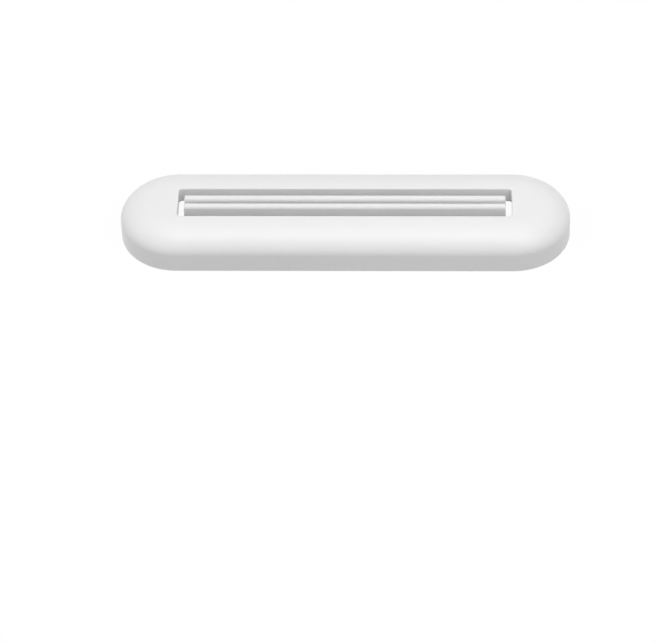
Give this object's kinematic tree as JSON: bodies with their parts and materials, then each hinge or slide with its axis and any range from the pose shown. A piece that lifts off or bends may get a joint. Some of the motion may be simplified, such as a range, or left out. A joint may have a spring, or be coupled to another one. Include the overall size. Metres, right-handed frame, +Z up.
{
  "type": "toothpaste tube squeezer",
  "caption": "Slide-on squeezer for a toothpaste tube: low oval shell with a long slot, and sprung lips in the slot that wipe the tube flat.",
  "frame": {"origin": "middle of the underside, on the surface that the skirt stands on", "axes": "+X along the slot and the length, +Y across the slot, +Z up through the slot, the way a tube's flat end comes out"},
  "size_m": [0.098, 0.0252, 0.0093],
  "materials": {
    "shell_white": "satin-gloss white moulded plastic",
    "lip_white": "satin white moulded plastic",
    "frame_white": "matt white moulded plastic"
  },
  "bodies": {
    "shell": {"body_shell": "shell_white", "base_frame": "frame_white"},
    "back_jaw": {"back_lip": "lip_white"},
    "front_jaw": {"front_lip": "lip_white"}
  },
  "joints": [
    {"name": "back_lip_lean", "type": "hinge", "parent": "shell", "child": "back_jaw", "pos_m": [0, 0.00883, 0.00272], "axis": [-1, 0, 0], "range_deg": [-4, 10], "stiffness_Nm_per_rad": 0.15},
    {"name": "front_lip_lean", "type": "hinge", "parent": "shell", "child": "front_jaw", "pos_m": [0, -0.00883, 0.00272], "axis": [1, 0, 0], "range_deg": [-4, 10], "stiffness_Nm_per_rad": 0.15}
  ]
}
